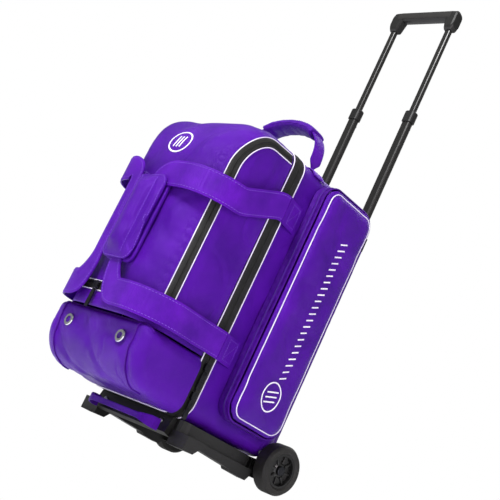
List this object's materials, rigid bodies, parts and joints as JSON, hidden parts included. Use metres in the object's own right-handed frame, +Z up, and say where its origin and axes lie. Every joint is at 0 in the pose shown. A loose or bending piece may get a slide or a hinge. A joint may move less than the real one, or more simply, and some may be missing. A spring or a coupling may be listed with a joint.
{
  "type": "bowling ball bag",
  "caption": "Upright roller bag for bowling balls: purple fabric body with domed hood, shoe pouch, side pocket, carry straps, plastic base, wheels and telescoping handle.",
  "frame": {"origin": "floor level under the middle of the whole bag's footprint", "axes": "+Z up, -Y towards the hood and shoe pouch (the front), +X towards the side with the accessory pocket"},
  "size_m": [0.323, 0.4698, 1.04],
  "materials": {
    "bag_fabric": "satin woven polyester",
    "webbing": "satin fabric-covered webbing",
    "zipper_tape": "matte woven tape with a nylon coil",
    "board": "matte sheet",
    "foam": "matte closed-cell foam",
    "tyre": "matte polyurethane",
    "eyelet_metal": "polished",
    "steel": "zinc plated",
    "painted_tube": "satin black paint",
    "black_plastic": "fine moulded texture"
  },
  "bodies": {
    "bag": {"rear_shell": "bag_fabric", "back_board": "board", "ball_cradle": "foam", "ball_divider": "foam", "rear_zip_tape": "zipper_tape", "strap_end_upper_left": "webbing", "strap_end_upper_right": "webbing", "strap_end_lower_left": "webbing", "strap_end_lower_right": "webbing", "pocket_gusset": "bag_fabric", "base_tray": "black_plastic", "foot_left": "black_plastic", "foot_right": "black_plastic", "rail_left": "black_plastic", "rail_right": "black_plastic", "wheel_housing_left": "black_plastic", "wheel_housing_right": "black_plastic", "front_bumper": "black_plastic", "axle": "steel", "outer_tube_left": "painted_tube", "outer_tube_right": "painted_tube", "back_cover": "bag_fabric", "handle_bezel": "black_plastic", "handle_socket": "black_plastic"},
    "front_section": {"front_zip_tape": "zipper_tape", "front_board": "board", "front_shell": "bag_fabric", "shoe_pouch": "bag_fabric", "eyelet_left": "eyelet_metal", "eyelet_right": "eyelet_metal", "hood_frame_tape": "zipper_tape", "side_zip_lower_slider": "black_plastic"},
    "hood": {"hood_panel": "bag_fabric", "hood_zip_tape": "zipper_tape"},
    "hood_zip_slider": {"hood_zip_slider": "black_plastic"},
    "hood_zip_pull": {"hood_zip_pull": "black_plastic"},
    "strap_right": {"strap_right": "webbing", "wrap_back": "bag_fabric"},
    "wrap_flap": {"wrap_flap": "bag_fabric"},
    "strap_left": {"strap_left": "webbing"},
    "pocket_cover": {"pocket_cover": "bag_fabric"},
    "wheel_left": {"wheel_hub_left": "black_plastic", "wheel_tyre_left": "tyre"},
    "wheel_right": {"wheel_hub_right": "black_plastic", "wheel_tyre_right": "tyre"},
    "middle_stage": {"middle_tube_left": "painted_tube", "middle_tube_right": "painted_tube", "collar_left": "black_plastic", "collar_right": "black_plastic"},
    "inner_stage": {"inner_tube_left": "painted_tube", "inner_tube_right": "painted_tube", "grip": "black_plastic"},
    "release_button_left": {"release_button_left": "steel"},
    "release_button_right": {"release_button_right": "steel"},
    "top_handle": {"top_handle_strap": "webbing", "top_handle_pad": "bag_fabric"},
    "lift_handle": {"lift_handle": "webbing"},
    "side_zip_upper_slider": {"side_zip_upper_slider": "black_plastic"},
    "side_zip_upper_pull": {"side_zip_upper_pull": "black_plastic"},
    "side_zip_lower_pull": {"side_zip_lower_pull": "black_plastic"}
  },
  "joints": [
    {"name": "front_section_hinge", "type": "hinge", "parent": "bag", "child": "front_section", "pos_m": [-0.1262, -0.0491, 0.295], "axis": [0, 0, -1], "range_deg": [0, 100]},
    {"name": "hood_hinge", "type": "hinge", "parent": "front_section", "child": "hood", "pos_m": [0, -0.0697, 0.545], "axis": [-1, 0, 0], "range_deg": [0, 100], "deforming": ["strap_right", "strap_left", "wrap_back", "wrap_flap"]},
    {"name": "hood_zip_slide", "type": "slide", "parent": "hood", "child": "hood_zip_slider", "axis": [1, 0, 0], "range_m": [-0.02, 0.075]},
    {"name": "hood_zip_pull_hinge", "type": "hinge", "parent": "hood_zip_slider", "child": "hood_zip_pull", "pos_m": [-0.026, -0.2151, 0.1786], "axis": [-1, 0, 0], "range_deg": [0, 120]},
    {"name": "strap_right_swing", "type": "hinge", "parent": "front_section", "child": "strap_right", "pos_m": [0.1415, -0.0491, 0.295], "axis": [0, 0, 1], "range_deg": [0, 120]},
    {"name": "strap_left_swing", "type": "hinge", "parent": "front_section", "child": "strap_left", "pos_m": [-0.133, -0.0591, 0.295], "axis": [0, 0, 1], "range_deg": [-120, 0]},
    {"name": "wrap_flap_hinge", "type": "hinge", "parent": "strap_right", "child": "wrap_flap", "pos_m": [0.042, -0.2349, 0.295], "axis": [0, 0, 1], "range_deg": [0, 170]},
    {"name": "pocket_cover_hinge", "type": "hinge", "parent": "bag", "child": "pocket_cover", "pos_m": [0.1615, 0.1519, 0.295], "axis": [0, 0, 1], "range_deg": [0, 100]},
    {"name": "wheel_left_spin", "type": "hinge", "parent": "bag", "child": "wheel_left", "pos_m": [-0.1445, 0.1899, 0.045], "axis": [1, 0, 0], "continuous": true},
    {"name": "wheel_right_spin", "type": "hinge", "parent": "bag", "child": "wheel_right", "pos_m": [0.1445, 0.1899, 0.045], "axis": [1, 0, 0], "continuous": true},
    {"name": "middle_stage_slide", "type": "slide", "parent": "bag", "child": "middle_stage", "axis": [0, 0, 1], "range_m": [-0.235, 0]},
    {"name": "inner_stage_slide", "type": "slide", "parent": "middle_stage", "child": "inner_stage", "axis": [0, 0, 1], "range_m": [-0.185, 0]},
    {"name": "release_button_left_press", "type": "slide", "parent": "middle_stage", "child": "release_button_left", "axis": [0, -1, 0], "range_m": [0, 0.0017], "stiffness_N_per_m": 800},
    {"name": "release_button_right_press", "type": "slide", "parent": "middle_stage", "child": "release_button_right", "axis": [0, -1, 0], "range_m": [0, 0.0017], "stiffness_N_per_m": 800},
    {"name": "top_handle_swing", "type": "hinge", "parent": "bag", "child": "top_handle", "pos_m": [0, 0.0099, 0.548], "axis": [1, 0, 0], "range_deg": [-60, 60]},
    {"name": "lift_handle_swing", "type": "hinge", "parent": "bag", "child": "lift_handle", "pos_m": [0, -0.0545, 0.021], "axis": [1, 0, 0], "range_deg": [-20, 20]},
    {"name": "side_zip_upper_slide", "type": "slide", "parent": "front_section", "child": "side_zip_upper_slider", "axis": [0, 0, 1], "range_m": [0, 0.36]},
    {"name": "side_zip_upper_pull_hinge", "type": "hinge", "parent": "side_zip_upper_slider", "child": "side_zip_upper_pull", "pos_m": [0.132, -0.0491, 0.1308], "axis": [0, -1, 0], "range_deg": [0, 120]},
    {"name": "side_zip_lower_pull_hinge", "type": "hinge", "parent": "front_section", "child": "side_zip_lower_pull", "pos_m": [0.132, -0.0491, 0.0788], "axis": [0, -1, 0], "range_deg": [0, 120]}
  ]
}
